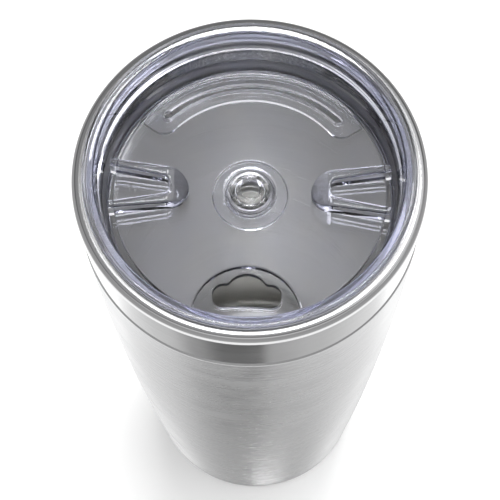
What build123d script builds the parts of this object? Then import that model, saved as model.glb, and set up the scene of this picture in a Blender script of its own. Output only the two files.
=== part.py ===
from build123d import *
from math import asin, cos, degrees, radians, sin, sqrt, tan
import os

# Double-wall insulated tumbler with a clear push-in lid that has a swivel disc.
# Millimetres, +Z up. The origin is the centre of the face that the cup stands on.
# The drinking side faces -Y, and the lid is open at rest.

# ---- Cup: overall sizes ----
CUP_HEIGHT = 196.1          # standing face to the crest of the lip
MOUTH_RADIUS = 46.6         # bore that the lid pushes into
LIP_WIDTH = 4.4             # from the bore to the widest point of the lip
LIP_ROUNDING = 2.3          # quarter round on the outside of the lip
LIP_INNER_ROUNDING = 0.5
LIP_CAP = 3.0               # height of the solid rim that joins liner and shell
SHEET = 0.8                 # stainless sheet
VACUUM_GAP = 2.6            # between the shell and the liner
BAND_HEIGHT = 21.5          # polished band, from the crest to the groove
BAND_TAPER = 1.1            # how far the band draws in at its foot
GROOVE_WIDTH = 1.2
GROOVE_DEPTH = 0.5
SHOULDER_INSET = 0.85       # brushed body's top, inside the widest point of the lip
BELLY_INSET = 6.25          # the same, halfway up the body
FOOT_INSET = 15.1           # the same, just above the foot
FOOT_ROUNDING = 2.5
FOOT_RING = 1.6             # width of the ring that the cup stands on
NECK_DEPTH = 15.0           # straight bore below the crest
FLOOR_HEIGHT = 10.5         # inside floor above the standing face
LINER_CORNER = 9.0

# ---- Closing of the base ----
BASE_LIP = 1.6              # sheet flange lapped on the shell's turned-in foot
BASE_DOME = 3.2             # rise of the middle of the outer base
BASE_FLAT_RADIUS = 22.0
COVER_THICKNESS = 0.6       # thinner than the sheet, so the cover stays off the table
COVER_CLEARANCE = 0.2
PORT_RADIUS = 2.5           # evacuation port in the outer base
PELLET_HEAD = 4.0
PELLET_HEAD_HEIGHT = 0.8
GETTER_RADIUS = 5.0
GETTER_HEIGHT = 1.8
GETTER_OFFSET = 13.0        # from the axis
CLIP_WIDTH = 4.0
CLIP_SHEET = 0.4
CLIP_FOOT = 3.0
FOIL = 0.15
FOIL_MARGIN = 12.0          # bare liner above and below the foil

# ---- Lid ----
LID_CLEARANCE = 0.4         # plug inside the mouth
FLANGE_OVERLAP = 1.1        # flange over the lip
FLANGE_THICKNESS = 2.3
FLANGE_WIDTH = 3.5          # flat top of the flange, from its rim to the well
FLANGE_ROUNDING = 0.8
WELL_DEPTH = 19.8           # from the top of the flange to the lid's floor
WELL_TAPER = 2.2            # how far the well's wall draws in at its foot
WELL_FOOT_ROUNDING = 0.8
LID_FLOOR = 2.2
PLUG_WALL = 2.2             # wall at the foot of the plug
SKIRT = 1.4                 # plug wall below the lid's floor
GASKET_HEIGHT = 5.0
GASKET_DROP = 7.6           # from the underside of the flange to the gasket
GASKET_SEAT = 1.6           # depth of its groove
GASKET_FREE = 0.3           # drawn clear of the bore
GASKET_LIP = 1.2            # height of each sealing lip
GASKET_BACK = 0.8           # valley between the lips

# ---- Swivel disc ----
SWIVEL = 90.0               # travel between open and closed
DISC_GAP = 2.2              # from the foot of the well to the edge of the disc
DISC_THICKNESS = 2.4
DISC_LIFT = 2.0             # free space between the disc and the lid's floor
DISC_ROUNDING = 0.4
NOTCH_RADIUS = 15.6         # arch cut in the drinking side
NOTCH_SETBACK = 0.9         # its centre, inside the disc's edge
LAND_WIDTH = 8.9            # crescent land under the back of the disc
LAND_HEIGHT = 1.6
LAND_HALF_ANGLE = 55.2
LAND_CORNER = 4.2
TRACK_INSET = 4.5           # middle of the curved slot, inside the disc's edge
STUD_RADIUS = 1.25
TRACK_CLEARANCE = 0.3
STUD_BELOW_TOP = 0.3
BOSS_RADIUS = 10.8          # bearing boss under the hub
BOSS_CLEARANCE = 0.1

# ---- Finger grips ----
GRIP_HEIGHT = 5.0
GRIP_NOSE = 5.8             # radius of the rounded nose
GRIP_NOSE_INSET = 16.3      # centre of the nose, inside the disc's edge
GRIP_SPREAD = 7.1           # degrees that each side opens towards the rim
GRIP_OVERHANG = 1.6         # past the disc's edge
GRIP_POCKET_HALF = 2.4      # half width of the pocket at its closed end
GRIP_POCKET_SPREAD = 10.6
GRIP_RAMP = 5.2             # length of the slope at the nose
GRIP_NOSE_HEIGHT = 1.4      # height left at the tip of the nose
GRIP_ROUNDING = 0.5

# ---- Pivot pin ----
PIN_RADIUS = 5.4
PIN_WALL = 1.0              # the pin is hollow below its crown
PIN_ROOF = 1.1              # thickness of the crown over the hollow
PIN_RUNNING = 0.1           # radial clearance in the lid's floor
PIN_HEAD_RADIUS = 8.0
PIN_CROWN_RADIUS = 5.7
PIN_HEAD_STEP = 0.6
PIN_HEAD_HEIGHT = 2.3
PIN_DIMPLE_RADIUS = 3.3
PIN_DIMPLE_DEPTH = 0.5
PIN_BARB = 1.0
PIN_BARB_LENGTH = 2.4
PIN_BARB_FREE = 0.25
PIN_SLIT = 1.0              # the split that lets the legs flex
RING_SECTION = 1.7          # silicone ring round the pin
RING_GAP = 0.05

# ---- Openings in the lid's floor ----
DRINK_WIDTH = 19.8
DRINK_FRONT_INSET = 5.2     # front edge, inside the disc's edge
DRINK_SHOULDER = 7.6        # front edge to the back edge at the sides
DRINK_LENGTH = 10.8         # front edge to the top of the middle lobe
DRINK_BOW = 0.7             # front edge bows in at its middle
DRINK_LOBE_RADIUS = 6.2
DRINK_CORNER = 3.5
DRINK_BLEND = 1.5           # where the lobe runs into the back edge
VENT_LENGTH = 4.6
VENT_WIDTH = 1.8

# ---- Levels and radii that follow from the sizes above ----
LIP_RADIUS = MOUTH_RADIUS + LIP_WIDTH
WALL = SHEET + VACUUM_GAP + SHEET
CAP_Z = CUP_HEIGHT - LIP_CAP
GROOVE_Z = CUP_HEIGHT - BAND_HEIGHT
SHOULDER_Z = GROOVE_Z - GROOVE_WIDTH
FOOT_Z = FOOT_ROUNDING * 1.6
NECK_Z = CUP_HEIGHT - NECK_DEPTH
BAND_FOOT_RADIUS = LIP_RADIUS - BAND_TAPER

PLUG_RADIUS = MOUTH_RADIUS - LID_CLEARANCE
FLANGE_RADIUS = MOUTH_RADIUS + FLANGE_OVERLAP
FLANGE_TOP = CUP_HEIGHT + FLANGE_THICKNESS
WELL_TOP_RADIUS = FLANGE_RADIUS - FLANGE_WIDTH
WELL_FOOT_RADIUS = WELL_TOP_RADIUS - WELL_TAPER
LID_FLOOR_Z = FLANGE_TOP - WELL_DEPTH
LID_UNDER_Z = LID_FLOOR_Z - LID_FLOOR
PLUG_FOOT_Z = LID_UNDER_Z - SKIRT
GASKET_TOP_Z = CUP_HEIGHT - GASKET_DROP
GASKET_FOOT_Z = GASKET_TOP_Z - GASKET_HEIGHT
GASKET_SEAT_RADIUS = PLUG_RADIUS - GASKET_SEAT

DISC_RADIUS = WELL_FOOT_RADIUS - DISC_GAP
DISC_UNDER_Z = LID_FLOOR_Z + DISC_LIFT
DISC_TOP_Z = DISC_UNDER_Z + DISC_THICKNESS
TRACK_RADIUS = DISC_RADIUS - TRACK_INSET
SLOT_HALF_WIDTH = STUD_RADIUS + TRACK_CLEARANCE
BACK = 90.0                 # the back of the cup, in degrees round +Z
STUD_ANGLE = BACK + SWIVEL / 2


def side_circle():
    """Centre and radius of the arc that the brushed side follows, in the r-z half plane."""
    r1, z1 = LIP_RADIUS - FOOT_INSET, FOOT_Z
    r2, z2 = LIP_RADIUS - BELLY_INSET, (FOOT_Z + SHOULDER_Z) / 2
    r3, z3 = LIP_RADIUS - SHOULDER_INSET, SHOULDER_Z
    d = 2 * (r1 * (z2 - z3) + r2 * (z3 - z1) + r3 * (z1 - z2))
    s1, s2, s3 = r1 ** 2 + z1 ** 2, r2 ** 2 + z2 ** 2, r3 ** 2 + z3 ** 2
    rc = (s1 * (z2 - z3) + s2 * (z3 - z1) + s3 * (z1 - z2)) / d
    zc = (s1 * (r3 - r2) + s2 * (r1 - r3) + s3 * (r2 - r1)) / d
    return rc, zc, sqrt((r1 - rc) ** 2 + (z1 - zc) ** 2)


def side_radius(z):
    """Outer radius of the brushed side at height z."""
    rc, zc, radius = side_circle()
    return rc + sqrt(radius ** 2 - (z - zc) ** 2)


def side_arc(inset, z_from, z_to):
    """Arc along the side, a fixed distance inside it."""
    z_mid = (z_from + z_to) / 2
    ends = [(side_radius(z) - inset, z) for z in (z_from, z_mid, z_to)]
    return ThreePointArc(*ends)


def turned(outline):
    """Solid of revolution round +Z from a closed outline in the r-z half plane."""
    return revolve(Plane.XZ * make_face(outline), Axis.Z)


def ring(r_in, r_out, z_low, z_high):
    """Plain ring."""
    return turned(Polyline((r_in, z_low), (r_out, z_low), (r_out, z_high), (r_in, z_high), close=True))


def prism(sketch, z_low, z_high):
    """Upright prism from a sketch in the XY plane."""
    return extrude(Pos(0, 0, z_low) * sketch, z_high - z_low)


def polar(radius, angle):
    """Point at a radius and an angle in degrees round +Z."""
    return radius * cos(radians(angle)), radius * sin(radians(angle))


def sector(r_in, r_out, from_angle, to_angle):
    """Closed sketch of a sector of a ring."""
    mid = (from_angle + to_angle) / 2
    outline = ThreePointArc(polar(r_out, from_angle), polar(r_out, mid), polar(r_out, to_angle))
    outline += Line(polar(r_out, to_angle), polar(r_in, to_angle))
    outline += ThreePointArc(polar(r_in, to_angle), polar(r_in, mid), polar(r_in, from_angle))
    outline += Line(polar(r_in, from_angle), polar(r_out, from_angle))
    return make_face(outline)


def curved_slot(radius, half_width, from_angle, to_angle):
    """Sector with round ends, for the track and the vent."""
    slot = sector(radius - half_width, radius + half_width, from_angle, to_angle)
    for angle in (from_angle, to_angle):
        slot += Pos(*polar(radius, angle)) * Circle(half_width)
    return slot


# ---- Cup ----
def outer_shell():
    """Spun shell: polished band, rolled groove, brushed side and turned-in foot."""
    foot_radius = side_radius(FOOT_Z)
    stand_radius = foot_radius - FOOT_ROUNDING
    hole_radius = stand_radius - FOOT_RING
    groove_radius = BAND_FOOT_RADIUS - GROOVE_DEPTH
    groove_mid = GROOVE_Z - GROOVE_WIDTH / 2
    bend = cos(radians(45))
    outline = Polyline(
        (LIP_RADIUS - SHEET, CAP_Z),
        (LIP_RADIUS, CAP_Z),
        (BAND_FOOT_RADIUS, GROOVE_Z),
        (groove_radius, groove_mid),
        (side_radius(SHOULDER_Z), SHOULDER_Z),
    )
    outline += side_arc(0, SHOULDER_Z, FOOT_Z)
    outline += ThreePointArc(
        (foot_radius, FOOT_Z),
        (stand_radius + FOOT_ROUNDING * bend, FOOT_Z * (1 - bend)),
        (stand_radius, 0),
    )
    outline += Polyline((stand_radius, 0), (hole_radius, 0), (hole_radius, SHEET), (stand_radius, SHEET))
    outline += ThreePointArc(
        (stand_radius, SHEET),
        (stand_radius + (FOOT_ROUNDING - SHEET) * bend, FOOT_Z - (FOOT_Z - SHEET) * bend),
        (foot_radius - SHEET, FOOT_Z),
    )
    outline += side_arc(SHEET, FOOT_Z, SHOULDER_Z)
    outline += Polyline(
        (side_radius(SHOULDER_Z) - SHEET, SHOULDER_Z),
        (groove_radius - SHEET, groove_mid),
        (BAND_FOOT_RADIUS - SHEET, GROOVE_Z),
        (LIP_RADIUS - SHEET, CAP_Z),
    )
    return turned(outline)


def liner_top_z():
    """Height where the liner starts to follow the side of the shell."""
    return min(SHOULDER_Z, NECK_Z - LIP_CAP)


def inner_liner():
    """Deep-drawn liner with the solid rim that is welded to the shell."""
    top_z = liner_top_z()
    low_z = FLOOR_HEIGHT + LINER_CORNER
    bend = cos(radians(45))
    low_radius = side_radius(low_z) - WALL
    centre_r = low_radius - LINER_CORNER
    outer_corner = LINER_CORNER + SHEET
    outline = Polyline(
        (0, FLOOR_HEIGHT - SHEET),
        (0, FLOOR_HEIGHT),
        (centre_r, FLOOR_HEIGHT),
    )
    outline += ThreePointArc(
        (centre_r, FLOOR_HEIGHT),
        (centre_r + LINER_CORNER * bend, low_z - LINER_CORNER * bend),
        (low_radius, low_z),
    )
    outline += side_arc(WALL, low_z, top_z)
    outline += Polyline(
        (side_radius(top_z) - WALL, top_z),
        (MOUTH_RADIUS, NECK_Z),
        (MOUTH_RADIUS, CUP_HEIGHT - LIP_INNER_ROUNDING),
    )
    outline += ThreePointArc(
        (MOUTH_RADIUS, CUP_HEIGHT - LIP_INNER_ROUNDING),
        (MOUTH_RADIUS + LIP_INNER_ROUNDING * (1 - bend), CUP_HEIGHT - LIP_INNER_ROUNDING * (1 - bend)),
        (MOUTH_RADIUS + LIP_INNER_ROUNDING, CUP_HEIGHT),
    )
    outline += Line((MOUTH_RADIUS + LIP_INNER_ROUNDING, CUP_HEIGHT), (LIP_RADIUS - LIP_ROUNDING, CUP_HEIGHT))
    outline += ThreePointArc(
        (LIP_RADIUS - LIP_ROUNDING, CUP_HEIGHT),
        (LIP_RADIUS - LIP_ROUNDING * (1 - bend), CUP_HEIGHT - LIP_ROUNDING * (1 - bend)),
        (LIP_RADIUS, CUP_HEIGHT - LIP_ROUNDING),
    )
    outline += Polyline(
        (LIP_RADIUS, CUP_HEIGHT - LIP_ROUNDING),
        (LIP_RADIUS, CAP_Z),
        (MOUTH_RADIUS + SHEET, CAP_Z),
        (MOUTH_RADIUS + SHEET, NECK_Z),
        (side_radius(top_z) - WALL + SHEET, top_z),
    )
    outline += side_arc(WALL - SHEET, top_z, low_z)
    outline += ThreePointArc(
        (low_radius + SHEET, low_z),
        (centre_r + outer_corner * bend, low_z - outer_corner * bend),
        (centre_r, FLOOR_HEIGHT - SHEET),
    )
    outline += Line((centre_r, FLOOR_HEIGHT - SHEET), (0, FLOOR_HEIGHT - SHEET))
    return turned(outline)


def radiation_foil():
    """Thin metal foil wrapped round the liner inside the vacuum."""
    low_z = FLOOR_HEIGHT + LINER_CORNER + FOIL_MARGIN
    top_z = liner_top_z() - FOIL_MARGIN
    inset = WALL - SHEET
    outline = side_arc(inset, low_z, top_z)
    outline += Line((side_radius(top_z) - inset, top_z), (side_radius(top_z) - inset + FOIL, top_z))
    outline += side_arc(inset - FOIL, top_z, low_z)
    outline += Line((side_radius(low_z) - inset + FOIL, low_z), (side_radius(low_z) - inset, low_z))
    return turned(outline)


def base_levels():
    """Radius of the shell's turned-in flange, and the heights of the outer base."""
    hole_radius = side_radius(FOOT_Z) - FOOT_ROUNDING - FOOT_RING
    return hole_radius, SHEET, SHEET + BASE_DOME


def outer_base():
    """Dished disc welded inside the foot of the shell; it closes the vacuum space."""
    hole_radius, rim_z, dome_z = base_levels()
    rim_radius = hole_radius + BASE_LIP
    outline = Polyline(
        (PORT_RADIUS, dome_z),
        (BASE_FLAT_RADIUS, dome_z),
        (hole_radius - BASE_LIP, rim_z),
        (rim_radius, rim_z),
        (rim_radius, rim_z + SHEET),
        (hole_radius - BASE_LIP + SHEET / 2, rim_z + SHEET),
        (BASE_FLAT_RADIUS + SHEET / 2, dome_z + SHEET),
        (PORT_RADIUS, dome_z + SHEET),
        close=True,
    )
    return turned(outline)


def sealing_pellet():
    """Plug brazed into the evacuation port."""
    dome_z = base_levels()[2]
    head = ring(0, PELLET_HEAD, dome_z - PELLET_HEAD_HEIGHT, dome_z)
    head = fillet(head.edges().group_by(Axis.Z)[0], PELLET_HEAD_HEIGHT / 2)
    return head + ring(0, PORT_RADIUS, dome_z, dome_z + SHEET)


def base_cover():
    """Flat cosmetic disc in the turned-in foot."""
    cover_radius = base_levels()[0] - COVER_CLEARANCE
    return ring(0, cover_radius, SHEET - COVER_THICKNESS, SHEET)


def getter():
    """Sintered tablet that absorbs the last gas in the vacuum space."""
    top_z = base_levels()[2] + SHEET
    tablet = Pos(GETTER_OFFSET, 0, top_z + GETTER_HEIGHT / 2) * Cylinder(GETTER_RADIUS, GETTER_HEIGHT)
    return chamfer(tablet.edges(), 0.3)


def getter_clip():
    """Sheet strap welded to the outer base; it holds the getter down."""
    base_z = base_levels()[2] + SHEET
    inner = GETTER_RADIUS
    outer = inner + CLIP_SHEET
    reach = outer + CLIP_FOOT
    top = GETTER_HEIGHT
    outline = Polyline(
        (-reach, 0),
        (-inner, 0),
        (-inner, top),
        (inner, top),
        (inner, 0),
        (reach, 0),
        (reach, CLIP_SHEET),
        (outer, CLIP_SHEET),
        (outer, top + CLIP_SHEET),
        (-outer, top + CLIP_SHEET),
        (-outer, CLIP_SHEET),
        (-reach, CLIP_SHEET),
        close=True,
    )
    strap = extrude(Plane.YZ * make_face(outline), CLIP_WIDTH / 2, both=True)
    return Pos(GETTER_OFFSET, 0, base_z) * strap


# ---- Lid ----
def drink_opening():
    """Sketch of the drinking hole: a wide bean with a lobe in the middle of its back edge."""
    front = -(DISC_RADIUS - DRINK_FRONT_INSET)
    half = DRINK_WIDTH / 2
    shoulder = front + DRINK_SHOULDER
    lobe_y = front + DRINK_LENGTH - DRINK_LOBE_RADIUS
    outline = Polyline((-half, front), (-half, shoulder), (half, shoulder), (half, front))
    outline += ThreePointArc((half, front), (0, front + DRINK_BOW), (-half, front))
    bean = make_face(outline)
    bean = fillet(bean.vertices(), DRINK_CORNER)
    upper_half = Pos(0, lobe_y + DRINK_LOBE_RADIUS / 2) * Rectangle(DRINK_LOBE_RADIUS * 2, DRINK_LOBE_RADIUS)
    hole = bean + (Pos(0, lobe_y) * Circle(DRINK_LOBE_RADIUS) & upper_half)
    junctions = [v for v in hole.vertices() if abs(v.X) < DRINK_LOBE_RADIUS and v.Y > lobe_y]
    return fillet(junctions, DRINK_BLEND)


def lid_body():
    """Clear lid: flange, tapered well, gasket groove, floor, stop stud and openings."""
    outline = Polyline(
        (PIN_RADIUS + PIN_RUNNING, LID_UNDER_Z),
        (PIN_RADIUS + PIN_RUNNING, LID_FLOOR_Z),
        (WELL_FOOT_RADIUS, LID_FLOOR_Z),
        (WELL_TOP_RADIUS, FLANGE_TOP),
        (FLANGE_RADIUS, FLANGE_TOP),
        (FLANGE_RADIUS, CUP_HEIGHT),
        (PLUG_RADIUS, CUP_HEIGHT),
        (PLUG_RADIUS, GASKET_TOP_Z),
        (GASKET_SEAT_RADIUS, GASKET_TOP_Z),
        (GASKET_SEAT_RADIUS, GASKET_FOOT_Z),
        (PLUG_RADIUS, GASKET_FOOT_Z),
        (PLUG_RADIUS, GASKET_FOOT_Z - GASKET_LIP),
        (WELL_FOOT_RADIUS + PLUG_WALL, PLUG_FOOT_Z + GASKET_LIP),
        (WELL_FOOT_RADIUS + PLUG_WALL, PLUG_FOOT_Z),
        (WELL_FOOT_RADIUS, PLUG_FOOT_Z),
        (WELL_FOOT_RADIUS, LID_UNDER_Z),
        close=True,
    )
    body = turned(outline)
    flange_edges = body.edges().filter_by(GeomType.CIRCLE).group_by(Axis.Z)[-1]
    body = fillet(flange_edges, FLANGE_ROUNDING)
    foot_edges = [
        edge
        for edge in body.edges().filter_by(GeomType.CIRCLE)
        if abs(edge.center().Z - LID_FLOOR_Z) < 0.01 and edge.radius > PIN_RADIUS * 2
    ]
    body = fillet(foot_edges, WELL_FOOT_ROUNDING)
    through = (LID_UNDER_Z - 1, LID_FLOOR_Z + 1)
    body -= prism(drink_opening(), *through)
    vent_half_angle = degrees(asin((VENT_LENGTH - VENT_WIDTH) / 2 / TRACK_RADIUS))
    vent = curved_slot(TRACK_RADIUS, VENT_WIDTH / 2, BACK - vent_half_angle, BACK + vent_half_angle)
    body -= prism(vent, *through)
    stud = Pos(*polar(TRACK_RADIUS, STUD_ANGLE)) * Circle(STUD_RADIUS)
    return body + prism(stud, LID_FLOOR_Z - LID_FLOOR / 2, DISC_TOP_Z - STUD_BELOW_TOP)


def lid_gasket():
    """Silicone ring with two sealing lips, in the plug's groove."""
    back_radius = PLUG_RADIUS - GASKET_BACK
    tip_radius = MOUTH_RADIUS - GASKET_FREE
    outline = Polyline(
        (GASKET_SEAT_RADIUS, GASKET_FOOT_Z),
        (back_radius, GASKET_FOOT_Z),
        (tip_radius, GASKET_FOOT_Z + GASKET_LIP),
        (back_radius, GASKET_FOOT_Z + GASKET_LIP * 1.5),
        (back_radius, GASKET_TOP_Z - GASKET_LIP * 1.5),
        (tip_radius, GASKET_TOP_Z - GASKET_LIP * 0.5),
        (back_radius, GASKET_TOP_Z),
        (GASKET_SEAT_RADIUS, GASKET_TOP_Z),
        close=True,
    )
    return turned(outline)


def grip_outline():
    """Sketch of one finger grip on the +X side: a wedge with a round nose."""
    nose_x = DISC_RADIUS - GRIP_NOSE_INSET
    rim_x = DISC_RADIUS + GRIP_OVERHANG
    tangent = 90 + GRIP_SPREAD
    start_x, start_y = polar(GRIP_NOSE, tangent)
    rim_y = start_y + (rim_x - nose_x - start_x) * tan(radians(GRIP_SPREAD))
    outline = ThreePointArc((nose_x + start_x, start_y), (nose_x - GRIP_NOSE, 0), (nose_x + start_x, -start_y))
    outline += Line((nose_x + start_x, -start_y), (rim_x, -rim_y))
    outline += ThreePointArc((rim_x, -rim_y), (sqrt(rim_x ** 2 + rim_y ** 2), 0), (rim_x, rim_y))
    outline += Line((rim_x, rim_y), (nose_x + start_x, start_y))
    return make_face(outline) & Circle(rim_x)


def grip_pocket():
    """Sketch of the finger pocket inside a grip, open towards the rim."""
    near_x = DISC_RADIUS - GRIP_NOSE_INSET
    far_x = DISC_RADIUS + GRIP_OVERHANG * 3
    far_y = GRIP_POCKET_HALF + (far_x - near_x) * tan(radians(GRIP_POCKET_SPREAD))
    outline = Polyline(
        (near_x, -GRIP_POCKET_HALF),
        (far_x, -far_y),
        (far_x, far_y),
        (near_x, GRIP_POCKET_HALF),
        close=True,
    )
    pocket = make_face(outline)
    return fillet(pocket.vertices().group_by(Axis.X)[0], GRIP_POCKET_HALF / 2)


def finger_grip():
    """One raised grip on the +X side, ramped down towards the hub."""
    top_z = DISC_TOP_Z + GRIP_HEIGHT
    root_z = DISC_TOP_Z - DISC_THICKNESS / 2
    block = prism(grip_outline(), root_z, top_z)
    block = fillet(block.edges().filter_by(GeomType.LINE).group_by(Axis.Z)[-1], GRIP_ROUNDING)
    tip_x = DISC_RADIUS - GRIP_NOSE_INSET - GRIP_NOSE
    ramp = Polyline(
        (tip_x - 1, top_z + 1),
        (tip_x - 1, DISC_TOP_Z + GRIP_NOSE_HEIGHT),
        (tip_x, DISC_TOP_Z + GRIP_NOSE_HEIGHT),
        (tip_x + GRIP_RAMP, top_z),
        (tip_x + GRIP_RAMP, top_z + 1),
        close=True,
    )
    block -= turned(ramp)
    return block - prism(grip_pocket(), DISC_TOP_Z, top_z + 1)


def swivel_disc():
    """Clear disc that turns over the drinking hole."""
    disc = ring(PIN_RADIUS, DISC_RADIUS, DISC_UNDER_Z, DISC_TOP_Z)
    rim = [e for e in disc.edges().filter_by(GeomType.CIRCLE) if e.radius > DISC_RADIUS - 0.01]
    disc = fillet(rim, DISC_ROUNDING)
    land = sector(
        DISC_RADIUS - LAND_WIDTH,
        DISC_RADIUS - DISC_ROUNDING,
        BACK - LAND_HALF_ANGLE,
        BACK + LAND_HALF_ANGLE,
    )
    inner = [v for v in land.vertices() if v.distance_to(Vertex(0, 0, 0)) < DISC_RADIUS - LAND_WIDTH / 2]
    land = fillet(inner, LAND_CORNER)
    disc += prism(land, DISC_UNDER_Z - LAND_HEIGHT, DISC_TOP_Z - DISC_THICKNESS / 2)
    disc += ring(PIN_RADIUS, BOSS_RADIUS, LID_FLOOR_Z + BOSS_CLEARANCE, DISC_TOP_Z - DISC_THICKNESS / 2)
    grip = finger_grip()
    disc += grip
    disc += Rot(0, 0, 180) * grip
    notch = Pos(0, -(DISC_RADIUS - NOTCH_SETBACK)) * Circle(NOTCH_RADIUS)
    disc -= prism(notch, DISC_UNDER_Z - 1, DISC_TOP_Z + 1)
    half_turn = SWIVEL / 2 + degrees(TRACK_CLEARANCE / TRACK_RADIUS)
    track = curved_slot(TRACK_RADIUS, SLOT_HALF_WIDTH, BACK - half_turn, BACK + half_turn)
    disc -= prism(track, DISC_UNDER_Z - LAND_HEIGHT - 1, DISC_TOP_Z + 1)
    seat_z = LID_FLOOR_Z + BOSS_CLEARANCE - 1
    return disc - ring(PIN_RADIUS, PIN_RADIUS + RING_SECTION, seat_z, LID_FLOOR_Z + RING_GAP + RING_SECTION)


def pivot_ring():
    """Silicone ring between the hub and the lid's floor; it gives the swivel its drag."""
    low_z = LID_FLOOR_Z + RING_GAP
    band = ring(PIN_RADIUS, PIN_RADIUS + RING_SECTION, low_z, low_z + RING_SECTION)
    outer_foot = band.edges().filter_by(GeomType.CIRCLE).group_by(Axis.Z)[0].sort_by(SortBy.RADIUS)[-1]
    return fillet(outer_foot, RING_SECTION / 3)


def pivot_pin():
    """Hollow snap pin: crowned head on the disc, split barbed foot under the lid's floor."""
    barb_z = LID_UNDER_Z - PIN_BARB_FREE
    crown_z = DISC_TOP_Z + PIN_HEAD_HEIGHT
    bore_radius = PIN_RADIUS - PIN_WALL
    bore_z = crown_z - PIN_DIMPLE_DEPTH - PIN_ROOF
    outline = Polyline(
        (0, bore_z),
        (bore_radius, bore_z),
        (bore_radius, barb_z - PIN_BARB_LENGTH),
        (PIN_RADIUS - PIN_BARB / 4, barb_z - PIN_BARB_LENGTH),
        (PIN_RADIUS + PIN_BARB, barb_z - PIN_BARB / 2),
        (PIN_RADIUS + PIN_BARB, barb_z),
        (PIN_RADIUS, barb_z),
        (PIN_RADIUS, DISC_TOP_Z),
        (PIN_HEAD_RADIUS, DISC_TOP_Z),
        (PIN_HEAD_RADIUS, DISC_TOP_Z + PIN_HEAD_STEP),
    )
    hollow_r = (PIN_HEAD_RADIUS + PIN_CROWN_RADIUS) / 2 - PIN_HEAD_STEP / 2
    outline += ThreePointArc(
        (PIN_HEAD_RADIUS, DISC_TOP_Z + PIN_HEAD_STEP),
        (hollow_r, (DISC_TOP_Z + PIN_HEAD_STEP + crown_z) / 2),
        (PIN_CROWN_RADIUS, crown_z),
    )
    outline += Polyline(
        (PIN_CROWN_RADIUS, crown_z),
        (PIN_DIMPLE_RADIUS, crown_z),
        (PIN_DIMPLE_RADIUS - PIN_DIMPLE_DEPTH, crown_z - PIN_DIMPLE_DEPTH),
        (0, crown_z - PIN_DIMPLE_DEPTH),
        (0, bore_z),
    )
    pin = turned(outline)
    slit_top = LID_FLOOR_Z
    slit_foot = barb_z - PIN_BARB_LENGTH - 1
    slit = Pos(0, 0, (slit_top + slit_foot) / 2) * Box(PIN_HEAD_RADIUS * 2, PIN_SLIT, slit_top - slit_foot)
    return pin - slit


NODES = {
    "outer_shell": outer_shell,
    "inner_liner": inner_liner,
    "radiation_foil": radiation_foil,
    "outer_base": outer_base,
    "sealing_pellet": sealing_pellet,
    "getter": getter,
    "getter_clip": getter_clip,
    "base_cover": base_cover,
    "lid_body": lid_body,
    "lid_gasket": lid_gasket,
    "swivel_disc": swivel_disc,
    "pivot_ring": pivot_ring,
    "pivot_pin": pivot_pin,
}

os.makedirs("parts", exist_ok=True)
for name, build in NODES.items():
    export_step(build(), f"parts/{name}.step")
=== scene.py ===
"""Studio scene for a double-wall insulated tumbler with a clear swivel-disc lid.

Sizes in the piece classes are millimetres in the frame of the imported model: +Z up, the origin at the
middle of the standing face, and the drinking side towards -Y. Meshes are stored in metres.
"""
import logging
from dataclasses import dataclass, field
from enum import Enum
from math import atan2, cos, pi, radians, sin, sqrt, tau
from typing import Mapping, Sequence

import bmesh
import bpy
from mathutils import Matrix, Vector


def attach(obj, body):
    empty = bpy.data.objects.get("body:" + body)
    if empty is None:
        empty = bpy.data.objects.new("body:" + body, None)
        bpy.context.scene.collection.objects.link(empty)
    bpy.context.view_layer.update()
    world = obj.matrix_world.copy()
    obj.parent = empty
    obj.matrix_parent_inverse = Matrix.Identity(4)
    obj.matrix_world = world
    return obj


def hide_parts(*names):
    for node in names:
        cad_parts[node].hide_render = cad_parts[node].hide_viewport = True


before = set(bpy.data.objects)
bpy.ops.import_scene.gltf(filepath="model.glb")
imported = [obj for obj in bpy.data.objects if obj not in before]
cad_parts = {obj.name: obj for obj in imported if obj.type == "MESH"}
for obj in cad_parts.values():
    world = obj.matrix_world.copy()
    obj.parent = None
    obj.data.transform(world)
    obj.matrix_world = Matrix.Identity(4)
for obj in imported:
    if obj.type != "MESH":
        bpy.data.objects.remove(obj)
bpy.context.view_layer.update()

LOG = logging.getLogger("tumbler")
MM = 0.001
TURN_STEPS = 192            # facets round a turned piece
SHARP_ANGLE = radians(34)   # edges sharper than this stay crisp
DIAGONAL = 0.7071           # sine and cosine of 45 degrees
Point = tuple[float, float]
Colour = tuple[float, float, float]
Mesh, Vert, Face = bmesh.types.BMesh, bmesh.types.BMVert, bmesh.types.BMFace
Material, Socket = bpy.types.Material, bpy.types.NodeSocket


# ---- drawing and turning


class Plane(Enum):
    """Plane that an outline is drawn in."""

    SECTION = (0, -1, 0)    # radius and height, turned round +Z
    LEVEL = (0, 0, 1)       # x and y, raised along +Z


class Join(Enum):
    """Ways of joining two closed meshes."""

    ADD = "UNION"
    CUT = "DIFFERENCE"


def polar(radius: float, degrees: float) -> Point:
    """Point at a radius and an angle round +Z."""
    return radius * cos(radians(degrees)), radius * sin(radians(degrees))


def circle_centre(a: Point, b: Point, c: Point) -> Point:
    """Centre of the circle through three points."""
    (ax, ay), (bx, by), (cx, cy) = a, b, c
    d = 2 * (ax * (by - cy) + bx * (cy - ay) + cx * (ay - by))
    sa, sb, sc = ax * ax + ay * ay, bx * bx + by * by, cx * cx + cy * cy
    x = (sa * (by - cy) + sb * (cy - ay) + sc * (ay - by)) / d
    return x, (sa * (cx - bx) + sb * (ax - cx) + sc * (bx - ax)) / d


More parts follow.
